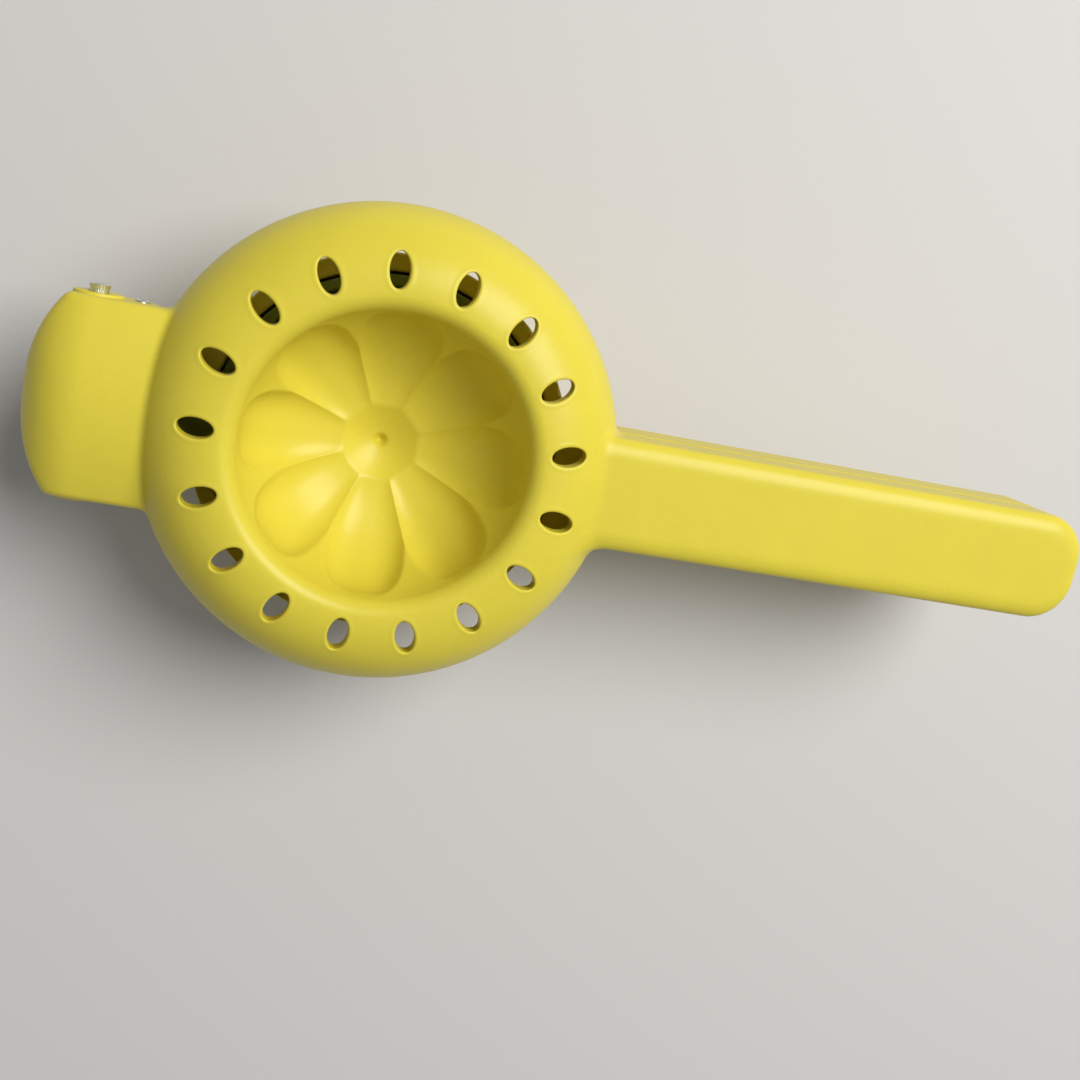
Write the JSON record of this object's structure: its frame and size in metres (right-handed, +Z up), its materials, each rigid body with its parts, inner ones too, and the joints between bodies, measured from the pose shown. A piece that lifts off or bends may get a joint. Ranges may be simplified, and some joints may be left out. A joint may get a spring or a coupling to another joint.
{
  "type": "hinged lemon squeezer",
  "caption": "Hinged hand squeezer for citrus: slotted strainer ring with a petalled dome, nested press cup and inner cup, two long handles and a pinned hood.",
  "frame": {"origin": "where the strainer ring's axis meets the table, with the squeezer lying closed on its press cup's flat crown and the strainer side up", "axes": "+Z up along the ring's axis, +X towards the handle tips, +Y to the left when looking along +X; the hinge pins lie along Y"},
  "size_m": [0.2179, 0.095, 0.0545],
  "materials": {
    "yellow_enamel": "satin-gloss lemon-yellow enamel on cast metal",
    "yellow_enamel_press": "satin-gloss lemon-yellow enamel on cast metal",
    "green_enamel": "satin-gloss green enamel on cast metal",
    "steel": "bright steel"
  },
  "bodies": {
    "press": {"press_arm": "yellow_enamel_press"},
    "strainer": {"strainer_arm": "yellow_enamel", "hinge_pin": "steel", "cup_pin": "steel"},
    "inner": {"inner_cup": "green_enamel"}
  },
  "joints": [
    {"name": "hinge", "type": "hinge", "parent": "press", "child": "strainer", "pos_m": [-0.0572, 0, 0.0365], "axis": [0, -1, 0], "range_deg": [0, 100]},
    {"name": "inner_cup_hinge", "type": "hinge", "parent": "strainer", "child": "inner", "pos_m": [-0.0492, 0, 0.0365], "axis": [0, -1, 0], "range_deg": [-50, 0]}
  ],
  "couplings": [
    {"joint": "inner_cup_hinge", "follows": "hinge", "ratio": -0.5}
  ]
}
